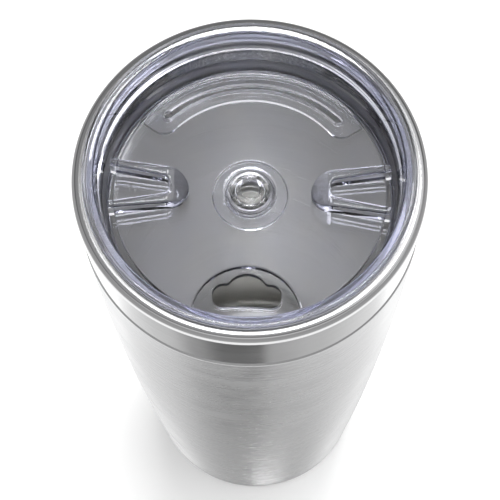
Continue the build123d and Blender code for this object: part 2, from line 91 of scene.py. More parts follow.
class Outline:
    """An outline drawn point by point with straight runs, arcs and rounded corners."""

    def __init__(self, plane: Plane) -> None:
        """Starts an empty outline.

        Args:
            plane: the plane that its points lie in.
        """
        self.plane = plane
        self.mesh = bmesh.new()
        self.ends: list[Vert] = []
        self.corners: list[tuple[Vert, float, int]] = []

    def _place(self, a: float, b: float) -> Vector:
        """The 3-D place of a point of the outline, in metres."""
        return Vector((a, 0, b)) * MM if self.plane is Plane.SECTION else Vector((a, b, 0)) * MM

    def to(self, a: float, b: float, rounding: float = 0.0, segments: int = 5) -> "Outline":
        """Draws a straight run to a point.

        Args:
            a: radius, or x.
            b: height, or y.
            rounding: length of each side that the rounded corner takes.
            segments: facets of the rounded corner.

        Returns:
            The outline.
        """
        vert = self.mesh.verts.new(self._place(a, b))
        if self.ends:
            self.mesh.edges.new((self.ends[-1], vert))
        self.ends.append(vert)
        if rounding:
            self.corners.append((vert, rounding, segments))
        return self

    def arc(self, through: Point, end: Point, steps: int) -> "Outline":
        """Sweeps an arc from the last point, through a second one, to a third.

        Args:
            through: a point about halfway along the arc.
            end: where the arc ends.
            steps: how many facets it has.

        Returns:
            The outline.
        """
        last_co = self.ends[-1].co / MM
        start = (last_co.x, last_co.z if self.plane is Plane.SECTION else last_co.y)
        centre = circle_centre(start, through, end)
        first, middle, last = (atan2(y - centre[1], x - centre[0]) for x, y in (start, through, end))
        turn = (last - first) % tau
        if (middle - first) % tau > turn:
            turn -= tau
        swept = bmesh.ops.spin(
            self.mesh, geom=[self.ends[-1]], cent=self._place(*centre), axis=Vector(self.plane.value), dvec=(0, 0, 0),
            angle=turn, steps=steps, use_merge=False, use_duplicate=False,
        )
        tip = next(g for g in swept["geom_last"] if isinstance(g, Vert))
        if (tip.co - self._place(*end)).length > MM * 0.05:
            raise ValueError(f"the arc to {end} ends at {tuple(tip.co / MM)}")
        self.ends.append(tip)
        return self

    def _round_corners(self) -> None:
        """Rounds the corners that asked for it."""
        for vert, rounding, segments in self.corners:
            bmesh.ops.bevel(
                self.mesh, geom=[vert], offset=rounding * MM, offset_type="OFFSET", segments=segments, profile=0.5,
                affect="VERTICES", material=-1, clamp_overlap=True,
            )

    def turned(self, closed: bool = True, steps: int = TURN_STEPS) -> Mesh:
        """Turns the outline round +Z into a closed surface.

        Args:
            closed: joins the last point to the first. An open outline starts and ends on the axis.
            steps: facets round the axis.

        Returns:
            The turned mesh, its faces pointing outwards.
        """
        if closed:
            self.mesh.edges.new((self.ends[-1], self.ends[0]))
        self._round_corners()
        bm = self.mesh
        bmesh.ops.spin(
            bm, geom=bm.verts[:] + bm.edges[:], cent=(0, 0, 0), axis=(0, 0, 1), dvec=(0, 0, 0), angle=tau,
            steps=steps, use_merge=True, use_duplicate=False,
        )
        bmesh.ops.remove_doubles(bm, verts=bm.verts[:], dist=MM * 0.002)
        bmesh.ops.recalc_face_normals(bm, faces=bm.faces[:])
        return bm

    def raised(self, levels: Sequence[tuple[float, float]]) -> Mesh:
        """Raises a level outline into a closed solid.

        Args:
            levels: (height, how far the outline grows outwards there), from the bottom up.

        Returns:
            The solid, its faces pointing outwards.
        """
        bm = self.mesh
        bm.edges.new((self.ends[-1], self.ends[0]))
        self._round_corners()
        bmesh.ops.remove_doubles(bm, verts=bm.verts[:], dist=MM * 0.002)
        floor = bmesh.ops.contextual_create(bm, geom=bm.edges[:])["faces"][0]
        if floor.normal.z > 0:
            floor.normal_flip()
        ring = [loop.vert for loop in floor.loops]
        growth: list[Vector] = []
        for before, here, after in zip(ring[-1:] + ring[:-1], ring, ring[1:] + ring[:1]):
            sides = [(here.co - before.co).normalized(), (after.co - here.co).normalized()]
            normals = [Vector((-s.y, s.x, 0)) for s in sides]
            growth.append((normals[0] + normals[1]) / (1 + normals[0].dot(normals[1])))
        base = [v.co.copy() for v in ring]
        cap = floor
        for number, (height, grow) in enumerate(levels):
            if number:
                below = cap
                made = bmesh.ops.extrude_face_region(bm, geom=[cap])["geom"]
                cap = next(g for g in made if isinstance(g, Face))
                if number > 1 and below.is_valid:
                    bmesh.ops.delete(bm, geom=[below], context="FACES_ONLY")
                new = {g for g in made if isinstance(g, Vert)}
                ring = [next(e.other_vert(v) for e in v.link_edges if e.other_vert(v) in new) for v in ring]
            for vert, place, out in zip(ring, base, growth):
                vert.co = place + out * grow * MM + Vector((0, 0, height * MM))
        bmesh.ops.recalc_face_normals(bm, faces=bm.faces[:])
        return bm


def rounded_levels(low: float, high: float, foot: float = 0.0, top: float = 0.0, steps: int = 4) -> list[Point]:
    """Levels of an upright solid whose bottom and top edges are rounded.

    Args:
        low: height of the bottom.
        high: height of the top.
        foot: rounding of the bottom edge. A negative value flares the edge instead, as a cutter does.
        top: rounding of the top edge, in the same way.
        steps: facets of each rounding.

    Returns:
        (height, growth) pairs from the bottom up.
    """
    levels: list[Point] = []
    for k in range(steps + 1) if foot else [0]:
        turn = pi / 2 * (1 - k / steps)
        levels.append((low + abs(foot) * (1 - sin(turn)), -foot * (1 - cos(turn))))
    for k in range(steps + 1) if top else [0]:
        turn = pi / 2 * k / steps
        levels.append((high - abs(top) * (1 - sin(turn)), -top * (1 - cos(turn))))
    return levels


def cutter_levels(low: float, high: float, edge: float, reach: float = 1.0) -> list[Point]:
    """Levels of a cutter that leaves rounded edges on a plate from low to high."""
    inner = rounded_levels(low, high, -edge, -edge)
    return [(low - reach, edge), *inner, (high + reach, edge)]


# ---- meshes into pieces


def as_object(name: str, bm: Mesh) -> bpy.types.Object:
    """Turns a bmesh into an object of the scene.

    Args:
        name: name of the object.
        bm: the mesh, which is freed.

    Returns:
        The linked object.
    """
    data = bpy.data.meshes.new(name)
    bm.to_mesh(data)
    bm.free()
    made = bpy.data.objects.new(name, data)
    bpy.context.scene.collection.objects.link(made)
    return made


def joined(base: Mesh, other: Mesh, how: Join) -> Mesh:
    """Adds one closed solid to another, or cuts it out.

    Args:
        base: the solid that is changed.
        other: the solid that is added or cut out.
        how: which of the two.

    Returns:
        The joined mesh.
    """
    body, tool = as_object("joint_base", base), as_object("joint_tool", other)
    modifier = body.modifiers.new("join", "BOOLEAN")
    modifier.object, modifier.operation, modifier.solver = tool, how.value, "EXACT"
    bpy.context.view_layer.update()
    result = bpy.data.meshes.new_from_object(body.evaluated_get(bpy.context.evaluated_depsgraph_get()))
    bm = bmesh.new()
    bm.from_mesh(result)
    bpy.data.meshes.remove(result)
    for spent in (body, tool):
        data = spent.data
        bpy.data.objects.remove(spent)
        bpy.data.meshes.remove(data)
    bmesh.ops.remove_doubles(bm, verts=bm.verts[:], dist=MM * 0.001)
    bmesh.ops.dissolve_degenerate(bm, dist=MM * 0.001, edges=bm.edges[:])
    return bm


def smooth_shading(bm: Mesh) -> None:
    """Shades curved faces smooth, level faces flat, and keeps sharp edges crisp."""
    for face in bm.faces:
        face.smooth = abs(face.normal.z) < 0.99995
    for edge in bm.edges:
        edge.smooth = len(edge.link_faces) == 2 and edge.calc_face_angle(0.0) < SHARP_ANGLE


def finished(name: str, bm: Mesh, body: str, node: str, materials: Sequence[Material]) -> None:
    """Makes a mesh a finished piece that stands for a CAD node.

    Args:
        name: name of the piece.
        bm: its mesh; faces already hold their material numbers.
        body: the CAD body that it rides on.
        node: the CAD node that it stands for.
        materials: its materials, in the order of the material numbers.
    """
    smooth_shading(bm)
    count = len(bm.faces)
    piece = as_object(name, bm)
    for material in materials:
        piece.data.materials.append(material)
    normals = piece.modifiers.new("even_normals", "WEIGHTED_NORMAL")
    normals.keep_sharp = True
    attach(piece, body)
    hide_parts(node)
    LOG.info("%s: %d faces, on body %s, for node %s", name, count, body, node)


# ---- finishes


class Graph:
    """A node tree that is built node by node."""

    def __init__(self, tree: bpy.types.NodeTree) -> None:
        """Empties a node tree.

        Args:
            tree: the tree of a material or of the world.
        """
        self.tree = tree
        tree.nodes.clear()

    def node(self, kind: str, inputs: Mapping[str | int, object] | None = None, **settings: object) -> bpy.types.Node:
        """Adds a node.

        Args:
            kind: the node's type, without its ShaderNode prefix.
            inputs: values or sockets for its inputs.
            **settings: properties of the node.

        Returns:
            The node.
        """
        made = self.tree.nodes.new("ShaderNode" + kind)
        for key, value in settings.items():
            setattr(made, key, value)
        for key, value in (inputs or {}).items():
            if isinstance(value, Socket):
                self.tree.links.new(value, made.inputs[key])
            else:
                made.inputs[key].default_value = value
        return made

    def math(self, kind: str, first: object, second: object = 0.0) -> Socket:
        """One Math node's result."""
        return self.node("Math", {0: first, 1: second}, operation=kind).outputs[0]

    def spread(
        self, value: Socket, low: float, high: float, from_low: float = 0.3, from_high: float = 0.7, eased: bool = False
    ) -> Socket:
        """Maps a value to a range.

        Args:
            value: the value, such as a pattern's.
            low: result at its low end.
            high: result at its high end.
            from_low: its low end.
            from_high: its high end.
            eased: eases in and out instead of changing evenly.

        Returns:
            The mapped value.
        """
        ends = {"From Min": from_low, "From Max": from_high, "To Min": low, "To Max": high}
        how = "SMOOTHSTEP" if eased else "LINEAR"
        return self.node("MapRange", {"Value": value, **ends}, interpolation_type=how).outputs[0]

    def blend(self, factor: Socket, low: Colour | Socket, high: Colour | Socket) -> Socket:
        """Blends two colours.

        Args:
            factor: 0 for the first colour, 1 for the second.
            low: the first colour, or a socket that gives it.
            high: the second.

        Returns:
            The blended colour.
        """
        inputs: dict[str | int, object] = {0: factor}
        for key, colour in ((6, low), (7, high)):
            inputs[key] = colour if isinstance(colour, Socket) else (*colour, 1)
        return self.node("Mix", inputs, data_type="RGBA").outputs[2]

    def graded(self, place: Socket, stops: Sequence[Point]) -> Socket:
        """Grades grey levels along a value.

        Args:
            place: the value, from 0 to 1.
            stops: (value, brightness), in order.

        Returns:
            The grey.
        """
        made = self.node("ValToRGB", {0: place})
        ramp = made.color_ramp
        ramp.interpolation = "EASE"
        for number, (value, level) in enumerate(stops):
            stop = ramp.elements[number] if number < 2 else ramp.elements.new(value)
            stop.position = value
            stop.color = (level, level, level, 1)
        return made.outputs[0]


class Shader(Graph):
    """A material's node tree with its Principled shader."""

    def __init__(self, name: str) -> None:
        """Starts a material.

        Args:
            name: its name.
        """
        self.material = bpy.data.materials.new(name)
        self.material.use_nodes = True
        super().__init__(self.material.node_tree)
        self.principled = self.node("BsdfPrincipled")
        self.output = self.node("OutputMaterial", {"Surface": self.principled.outputs[0]})
        self.place = self.node("TexCoord").outputs["Object"]

    def constants(self, **values: object) -> None:
        """Sets constants on the shader's own sockets; underscores stand for spaces."""
        for key, value in values.items():
            self.principled.inputs[key.replace("_", " ")].default_value = value

    def drive(self, **sockets: Socket) -> None:
        """Drives the shader's inputs; underscores stand for spaces."""
        for key, socket in sockets.items():
            self.tree.links.new(socket, self.principled.inputs[key.replace("_", " ")])

    def noise(
        self, scale: Sequence[float], detail: float, roughness: float, seed: float = 0.0, place: Socket | None = None
    ) -> Socket:
        """A noise pattern stretched differently along each axis.

        Args:
            scale: cells a metre along x, y and z.
            detail: octaves.
            roughness: strength of the finer octaves.
            seed: shift of the pattern.
            place: the coordinates, if not the object's own.

        Returns:
            Its value, about 0.3 to 0.7.
        """
        mapped = self.node("Mapping", {"Vector": place or self.place, "Scale": tuple(scale), "Location": (seed,) * 3})
        pattern = {"Vector": mapped.outputs[0], "Scale": 1.0, "Detail": detail, "Roughness": roughness}
        return self.node("TexNoise", pattern).outputs[0]

    def cells(self, scale: float, feature: str = "F1") -> Socket:
        """Distance to the middle of the nearest of scattered cells, of which a metre holds scale."""
        return self.node("TexVoronoi", {"Vector": self.place, "Scale": scale}, feature=feature).outputs[0]

    def bump(self, height: Socket, strength: float, distance: float) -> None:
        """Raises the surface by a pattern, in metres."""
        made = self.node("Bump", {"Height": height, "Strength": strength, "Distance": distance})
        self.drive(Normal=made.outputs[0])


@dataclass(frozen=True)
class TurnedSteel:
    """Stainless steel whose polishing or brushing lines run round the cup."""

    name: str
    dark: Colour
    light: Colour
    rough_low: float
    rough_high: float
    lines: float                # lines a metre up the side
    streak: float               # changes a metre along a line
    depth: float                # of a line, in metres
    pull: float                 # how far a reflection is drawn across the lines

    def material(self) -> Material:
        """Builds the material."""
        s = Shader(self.name)
        part = s.node("SeparateXYZ", {0: s.place}).outputs
        level = s.node("VectorMath", {0: s.place, 1: (1, 1, 0)}, operation="MULTIPLY").outputs[0]
        out = s.node("VectorMath", {0: level}, operation="LENGTH").outputs["Value"]
        round_place = s.node("CombineXYZ", {0: part[0], 1: part[1], 2: s.math("SUBTRACT", part[2], out)}).outputs[0]
        fine = s.noise((self.streak, self.streak, self.lines), 3.0, 0.6, 0.0, round_place)
        broad = s.noise((self.streak / 3, self.streak / 3, self.lines / 9), 2.0, 0.5, 3.1, round_place)
        wear = s.noise((70.0, 70.0, 70.0), 3.0, 0.55, 7.7)
        lines = s.math("ADD", s.math("MULTIPLY", fine, 0.7), s.math("MULTIPLY", broad, 0.3))
        s.constants(Metallic=1.0, Anisotropic=self.pull)
        up = s.node("VectorMath", {0: (0, 0, 1), 1: s.place}, operation="CROSS_PRODUCT").outputs[0]
        s.drive(
            Base_Color=s.blend(s.spread(lines, 0.0, 1.0), self.dark, self.light),
            Roughness=s.math("ADD", s.spread(lines, self.rough_low, self.rough_high), s.spread(wear, -0.02, 0.04)),
            Tangent=s.node("VectorMath", {0: up}, operation="NORMALIZE").outputs[0],
        )
        s.bump(lines, 0.5, self.depth)
        return s.material


@dataclass(frozen=True)
class ClearMoulding:
    """Clear moulded plastic or silicone, with faint flow waves and handling scuffs."""

    name: str
    tint: Colour = (0.985, 0.985, 0.995)
    ior: float = 1.57
    rough_low: float = 0.0
    rough_high: float = 0.03
    clearness: float = 1.0      # how much light goes through
    waves: float = 0.00001      # height of the flow waves, in metres
    body_tint: Colour = (0.70, 0.72, 0.90)
    density: float = 60.0       # how fast the tint deepens, a metre

    def material(self) -> Material:
        """Builds the material."""
        s = Shader(self.name)
        flow = s.noise((90.0, 90.0, 60.0), 2.0, 0.4)
        scuff = s.noise((900.0, 2200.0, 900.0), 3.0, 0.65, 5.3)
        s.constants(Metallic=0.0, IOR=self.ior, Transmission_Weight=self.clearness)
        s.drive(
            Base_Color=s.blend(s.spread(flow, 0.0, 1.0), self.tint, (1.0, 1.0, 1.0)),
            Roughness=s.spread(scuff, self.rough_low, self.rough_high, 0.5, 0.75),
        )
        s.bump(flow, 0.3, self.waves)
        depth = s.node("VolumeAbsorption", {"Color": (*self.body_tint, 1), "Density": self.density})
        s.tree.links.new(depth.outputs[0], s.output.inputs["Volume"])
        return s.material


@dataclass(frozen=True)
class CrinkledFoil:
    """Bright copper foil, crinkled from wrapping."""

    name: str
    dark: Colour = (0.62, 0.33, 0.22)
    light: Colour = (0.80, 0.48, 0.34)

    def material(self) -> Material:
        """Builds the material."""
        s = Shader(self.name)
        creases = s.cells(160.0, "SMOOTH_F1")
        fine = s.noise((900.0, 900.0, 300.0), 2.0, 0.5)
        s.constants(Metallic=1.0)
        s.drive(
            Base_Color=s.blend(s.spread(fine, 0.0, 1.0), self.dark, self.light),
            Roughness=s.spread(fine, 0.18, 0.36),
        )
        s.bump(s.math("ADD", creases, s.math("MULTIPLY", fine, 0.2)), 0.6, 0.0003)
        return s.material


@dataclass(frozen=True)
class GrainyMetal:
    """Metal with a grainy skin: fused braze or a pressed and sintered tablet."""

    name: str
    dark: Colour
    light: Colour
    grain: float                # grains a metre
    roughness: float
    metallic: float = 1.0

    def material(self) -> Material:
        """Builds the material."""
        s = Shader(self.name)
        patch = s.noise((self.grain / 8,) * 3, 3.0, 0.6)
        s.constants(Metallic=self.metallic)
        s.drive(
            Base_Color=s.blend(s.spread(patch, 0.0, 1.0), self.dark, self.light),
            Roughness=s.spread(patch, self.roughness - 0.08, self.roughness + 0.08),
        )
        s.bump(s.cells(self.grain), 0.5, 0.3 / self.grain)
        return s.material


class PaleFloor:
    """Plain white studio floor with a faint tooth."""

    def material(self) -> Material:
        """Builds the material."""
        s = Shader("studio_floor")
        tooth = s.noise((60.0, 60.0, 60.0), 3.0, 0.5)
        s.constants(Roughness=0.9, Emission_Color=(1, 1, 1, 1), Emission_Strength=0.12)
        s.drive(Base_Color=s.blend(s.spread(tooth, 0.0, 1.0), (0.94, 0.94, 0.94), (0.96, 0.96, 0.96)))
        return s.material


# ---- cup


@dataclass(frozen=True)
class TaperedSide:
    """The arc that the cup's brushed side follows, through three points of the section."""

    foot: Point = (35.9, 4.0)
    belly: Point = (44.75, 88.7)
    shoulder: Point = (50.15, 173.4)

    def radius(self, z: float, inset: float = 0.0) -> float:
        """Radius of the side at a height.

        Args:
            z: the height.
            inset: distance inside the outer face.

        Returns:
            The radius there.
        """
        centre_r, centre_z = circle_centre(self.foot, self.belly, self.shoulder)
        across, up = self.foot[0] - centre_r, self.foot[1] - centre_z
        return centre_r + sqrt(across ** 2 + up ** 2 - (z - centre_z) ** 2) - inset

    def run(self, outline: Outline, z_end: float, inset: float, steps: int) -> None:
        """Follows the side from the outline's last point.

        Args:
            outline: the section being drawn.
            z_end: height where the run ends.
            inset: distance inside the outer face.
            steps: facets of the run.
        """
        z_mid = (outline.ends[-1].co.z / MM + z_end) / 2
        outline.arc((self.radius(z_mid, inset), z_mid), (self.radius(z_end, inset), z_end), steps)


@dataclass
class Cup:
    """Steel double-wall cup: brushed shell, liner with the lip, and the parts in the vacuum."""

    height: float = 196.1
    lip_radius: float = 51.0
    mouth_radius: float = 46.6
    lip_rounding: float = 2.3
    cap_z: float = 193.1
    band_foot: Point = (49.9, 174.6)
    groove_foot: Point = (49.4, 174.0)
    sheet: float = 0.8
    wall: float = 4.2
    neck_z: float = 181.1
    floor_z: float = 10.5
    corner: float = 9.0
    stand_radius: float = 33.4
    ring_inner: float = 31.8
    groove_edge: float = 0.3    # roundings
    groove_bottom: float = 0.25
    ring_edge: float = 0.2
    neck_bend: float = 1.5
    bore_edge: float = 0.5
    crest_shade_depth: float = 0.35   # how far down the crest of the lip the painted shade reaches
    straight: float = 1.5       # straight run of the side below the groove
    side_facets: int = 40
    corner_facets: int = 14
    side: TaperedSide = field(default_factory=TaperedSide)

    def shell_mesh(self) -> Mesh:
        """Turns the shell: band, rolled groove, brushed side and turned-in foot."""
        foot_r, foot_z = self.side.foot
        top_z, t = self.side.shoulder[1], self.sheet
        section = Outline(Plane.SECTION)
        section.to(self.lip_radius - t, self.cap_z).to(self.lip_radius, self.cap_z)
        section.to(*self.band_foot, self.groove_edge).to(*self.groove_foot, self.groove_bottom)
        section.to(self.side.radius(top_z), top_z, self.groove_edge)
        section.to(self.side.radius(top_z - self.straight), top_z - self.straight)
        self.side.run(section, foot_z, 0.0, self.side_facets)
        bend = self.stand_radius + (foot_r - self.stand_radius) * DIAGONAL
        section.arc((bend, foot_z * (1 - DIAGONAL)), (self.stand_radius, 0.0), 10)
        section.to(self.ring_inner, 0.0, self.ring_edge * 1.5).to(self.ring_inner, t, self.ring_edge)
        section.to(self.stand_radius, t)
        inner_bend = self.stand_radius + (foot_r - t - self.stand_radius) * DIAGONAL
        section.arc((inner_bend, foot_z - (foot_z - t) * DIAGONAL), (foot_r - t, foot_z), 6)
        self.side.run(section, top_z, t, self.side_facets)
        section.to(self.groove_foot[0] - t, self.groove_foot[1]).to(self.band_foot[0] - t, self.band_foot[1])
        return section.turned()

    def liner_mesh(self) -> Mesh:
        """Turns the liner: floor, wall, neck, and the solid lip welded to the shell."""
        t, low_z = self.sheet, self.floor_z + self.corner
        top_z = self.side.shoulder[1]
        low_r = self.side.radius(low_z, self.wall)
        centre = low_r - self.corner
        bend = self.corner * DIAGONAL
        section = Outline(Plane.SECTION)
        section.to(0.0, self.floor_z).to(centre, self.floor_z)
        section.arc((centre + bend, low_z - bend), (low_r, low_z), self.corner_facets)
        self.side.run(section, top_z, self.wall, self.side_facets)
        section.to(self.mouth_radius, self.neck_z, self.neck_bend).to(self.mouth_radius, self.height, self.bore_edge)
        section.to(self.lip_radius, self.height, self.lip_rounding, self.corner_facets).to(self.lip_radius, self.cap_z)
        section.to(self.mouth_radius + t, self.cap_z).to(self.mouth_radius + t, self.neck_z)
        section.to(self.side.radius(top_z, self.wall - t), top_z)
        self.side.run(section, low_z, self.wall - t, self.side_facets)
        bend = (self.corner + t) * DIAGONAL
        section.arc((centre + bend, low_z - bend), (centre, self.floor_z - t), self.corner_facets)
        section.to(0.0, self.floor_z - t)
        return section.turned(closed=False)

    def build(self) -> None:
        """Makes the cup's pieces and dresses the CAD nodes that stay."""
        brushed = TurnedSteel(
            "brushed_side", (0.57, 0.57, 0.575), (0.65, 0.65, 0.655), 0.22, 0.29, 5200.0, 16.0, 0.0000007, 0.5
        ).material()
        polished = TurnedSteel(
            "polished_band", (0.62, 0.62, 0.625), (0.67, 0.67, 0.675), 0.09, 0.14, 2600.0, 5.0, 0.000001, 0.4
        ).material()
        satin = TurnedSteel(
            "satin_inside", (0.62, 0.615, 0.59), (0.72, 0.715, 0.69), 0.26, 0.38, 3500.0, 30.0, 0.000004, 0.3
        ).material()
        # Painted shade: the lip's crest is a darkened copy of the steel, its dark base colour standing in for the dim
        # reflection on the top of the lip
        crest = TurnedSteel(
            "crest_painted_shade", (0.12, 0.12, 0.122), (0.36, 0.36, 0.365), 0.16, 0.24, 2200.0, 6.0, 0.000002, 0.3
        ).material()
        shell = self.shell_mesh()
        for face in shell.faces:
            face.material_index = int(face.calc_center_median().z > self.groove_foot[1] * MM)
        finished("cup_shell", shell, "cup", "outer_shell", [brushed, polished])
        liner = self.liner_mesh()
        for face in liner.faces:
            middle = face.calc_center_median()
            at_lip = middle.z > self.cap_z * MM and middle.xy.length > (self.mouth_radius + 0.1) * MM
            # faces on the top of the lip take the darkened crest steel, which is painted shade
            in_crest_shade = at_lip and middle.z > (self.height - self.crest_shade_depth) * MM
            face.material_index = 2 if in_crest_shade else int(not at_lip)
        finished("cup_liner", liner, "cup", "inner_liner", [polished, satin, crest])
        sheet = TurnedSteel(
            "base_sheet", (0.50, 0.50, 0.51), (0.62, 0.62, 0.63), 0.26, 0.38, 2400.0, 2400.0, 0.000003, 0.0
        ).material()
        dress("base_cover", sheet)
        dress("outer_base", sheet)
        dress("getter_clip", sheet)
        dress("radiation_foil", CrinkledFoil("wrapped_foil").material())
        braze = GrainyMetal("fused_braze", (0.45, 0.40, 0.31), (0.62, 0.57, 0.46), 1800.0, 0.5)
        tablet = GrainyMetal("sintered_tablet", (0.14, 0.14, 0.15), (0.24, 0.24, 0.25), 5200.0, 0.75, 0.3)
        dress("sealing_pellet", braze.material())
        dress("getter", tablet.material())


def dress(node: str, material: Material) -> None:
    """Gives a CAD node a finished material.

    Args:
        node: name of the node.
        material: the material.
    """
    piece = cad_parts[node]
    piece.data.materials.clear()
    piece.data.materials.append(material)
    LOG.info("%s: CAD node dressed as %s", node, material.name)


# ---- lid


@dataclass
class Lid:
    """Clear push-in lid: flange, tapered well, floor with its openings, and the gasket."""

    flange_radius: float = 47.7
    flange_z: float = 198.4
    crown: float = 0.28         # how much lower the flange's top is at the well
    rim_z: float = 196.1
    well_top: float = 44.2
    well_foot: float = 42.0
    floor_z: float = 178.6
    under_z: float = 176.4
    plug_radius: float = 46.2
    plug_wall: float = 44.2
    plug_foot_z: float = 175.0
    seat_radius: float = 44.6
    seat_z: Point = (183.5, 188.5)
    bore: float = 5.5
    edge: float = 0.35          # rounding of the openings' edges
    slight: float = 0.2         # roundings of the section
    plug_edge: float = 0.4
    well_bend: float = 0.9
    flange_edge: float = 0.7
    plug_taper: float = 1.2     # height of the plug's lead-in
    stud_root: float = 1.1      # how deep the stud reaches into the floor
    gasket_back: float = 0.8    # how far the gasket's back is inside the plug's radius
    gasket_tip: float = 46.3
    gasket_lip: float = 1.2
    track_radius: float = 35.3
    stud_radius: float = 1.25
    stud_top_z: float = 182.7
    stud_angle: float = 135.0

    def drinking_hole(self) -> Outline:
        """Draws the drinking hole: a wide bean with a lobe in the middle of its back edge."""
        front, shoulder, half = -34.6, -27.0, 9.9
        lobe_y, lobe_r = -30.0, 6.2
        start = 38.0
        right, left = polar(lobe_r, start), polar(lobe_r, 180 - start)
        join_x = sqrt(lobe_r ** 2 - (shoulder - lobe_y) ** 2)
        front_bend, shoulder_bend, join_bend = 3.5, 3.2, 0.8
        bow_x, bow_y = half * 0.6, front + 0.45
        hole = Outline(Plane.LEVEL)
        hole.to(half, front, front_bend, 8).to(half, shoulder, shoulder_bend, 8).to(join_x, shoulder, join_bend, 4)
        hole.to(right[0], lobe_y + right[1]).arc((0.0, lobe_y + lobe_r), (left[0], lobe_y + left[1]), 20)
        hole.to(-join_x, shoulder, join_bend, 4).to(-half, shoulder, shoulder_bend, 8).to(-half, front, front_bend, 8)
        hole.to(-bow_x, bow_y).arc((0.0, bow_y + 0.25), (bow_x, bow_y), 8)
        return hole

    def vent(self) -> Outline:
        """Draws the vent behind the hub."""
        half, reach = 0.9, 2.27
        return curved_slot(self.track_radius, half, 90 - reach, 90 + reach, 6, 8)

    def body_mesh(self) -> Mesh:
        """Turns the lid and cuts its openings."""
        low, high = self.seat_z
        inner, drop, slight = self.well_top + 0.15, self.flange_z - self.crown, self.slight
        section = Outline(Plane.SECTION)
        section.to(self.bore, self.under_z, slight, 3).to(self.bore, self.floor_z, slight + 0.05, 3)
        section.to(self.well_foot, self.floor_z, self.well_bend, 6).to(inner - 0.1, drop - 0.6, 0.15, 2)
        section.to(inner + 0.3, drop, 0.3, 5)
        section.arc((inner + 1.4, self.flange_z - self.crown * 0.36), (inner + 2.6, self.flange_z), 10)
        section.to(self.flange_radius, self.flange_z, self.flange_edge, 8)
        section.to(self.flange_radius, self.rim_z, self.edge, 4)
        section.to(self.plug_radius, self.rim_z, slight, 3).to(self.plug_radius, high, slight, 3)
        section.to(self.seat_radius, high).to(self.seat_radius, low).to(self.plug_radius, low, slight, 3)
        section.to(self.plug_radius, low - self.plug_taper, self.plug_edge + 0.1, 4)
        section.to(self.plug_wall, self.plug_foot_z + self.plug_taper, self.plug_edge - 0.1, 3)
        section.to(self.plug_wall, self.plug_foot_z, self.plug_edge, 4)
        section.to(self.well_foot, self.plug_foot_z, self.plug_edge, 4)
        section.to(self.well_foot, self.under_z, self.plug_edge + 0.1, 4)
        body = section.turned()
        levels = cutter_levels(self.under_z, self.floor_z, self.edge)
        for opening in (self.drinking_hole(), self.vent()):
            body = joined(body, opening.raised(levels), Join.CUT)
        (x, y), r = polar(self.track_radius, self.stud_angle), self.stud_radius
        end = polar(r, -15)
        stud = Outline(Plane.LEVEL).to(x + r, y).arc((x - r, y), (x + end[0], y + end[1]), 23)
        levels = rounded_levels(self.floor_z - self.stud_root, self.stud_top_z, 0, 0.3)
        return joined(body, stud.raised(levels), Join.ADD)

    def gasket_mesh(self) -> Mesh:
        """Turns the silicone gasket with its two sealing lips."""
        (low, high), gap, slight = self.seat_z, 0.03, self.slight - 0.05
        back, tip, lip = self.plug_radius - self.gasket_back, self.gasket_tip, self.gasket_lip
        section = Outline(Plane.SECTION)
        section.to(self.seat_radius + gap, low + gap).to(back, low + gap, slight, 3)
        section.to(tip, low + lip, slight, 3).to(back, low + lip * 1.5, self.slight, 3)
        section.to(back, high - lip * 1.5, self.slight, 3).to(tip, high - lip * 0.5, slight, 3)
        section.to(back, high - gap, slight, 3).to(self.seat_radius + gap, high - gap)
        return section.turned()

    def build(self) -> None:
        """Makes the lid's pieces."""
        clear = ClearMoulding("clear_lid", (0.95, 0.96, 1.0), clearness=0.985).material()
        silicone = ClearMoulding("clear_gasket", (0.90, 0.91, 0.97), 1.41, 0.25, 0.4, 0.2, 0.00002).material()
        finished("lid_shell", self.body_mesh(), "lid", "lid_body", [clear])
        finished("lid_seal", self.gasket_mesh(), "lid", "lid_gasket", [silicone])


def curved_slot(radius: float, half: float, from_angle: float, to_angle: float, steps: int, end_steps: int) -> Outline:
    """Draws a slot that follows a circle and has round ends.

    Args:
        radius: radius of its middle line.
        half: half its width.
        from_angle: angle of one end's centre.
        to_angle: angle of the other.
        steps: facets of each long side.
        end_steps: facets of each end.

    Returns:
        The level outline.
    """
    middle = (from_angle + to_angle) / 2
    beyond = half / radius * 180 / pi
    slot = Outline(Plane.LEVEL)
    slot.to(*polar(radius + half, from_angle))
    slot.arc(polar(radius + half, middle), polar(radius + half, to_angle), steps)
    slot.arc(polar(radius, to_angle + beyond), polar(radius - half, to_angle), end_steps)
    slot.arc(polar(radius - half, middle), polar(radius - half, from_angle), steps)
    slot.arc(polar(radius, from_angle - beyond), polar(radius + half, from_angle), end_steps)
    return slot


# ---- swivel disc


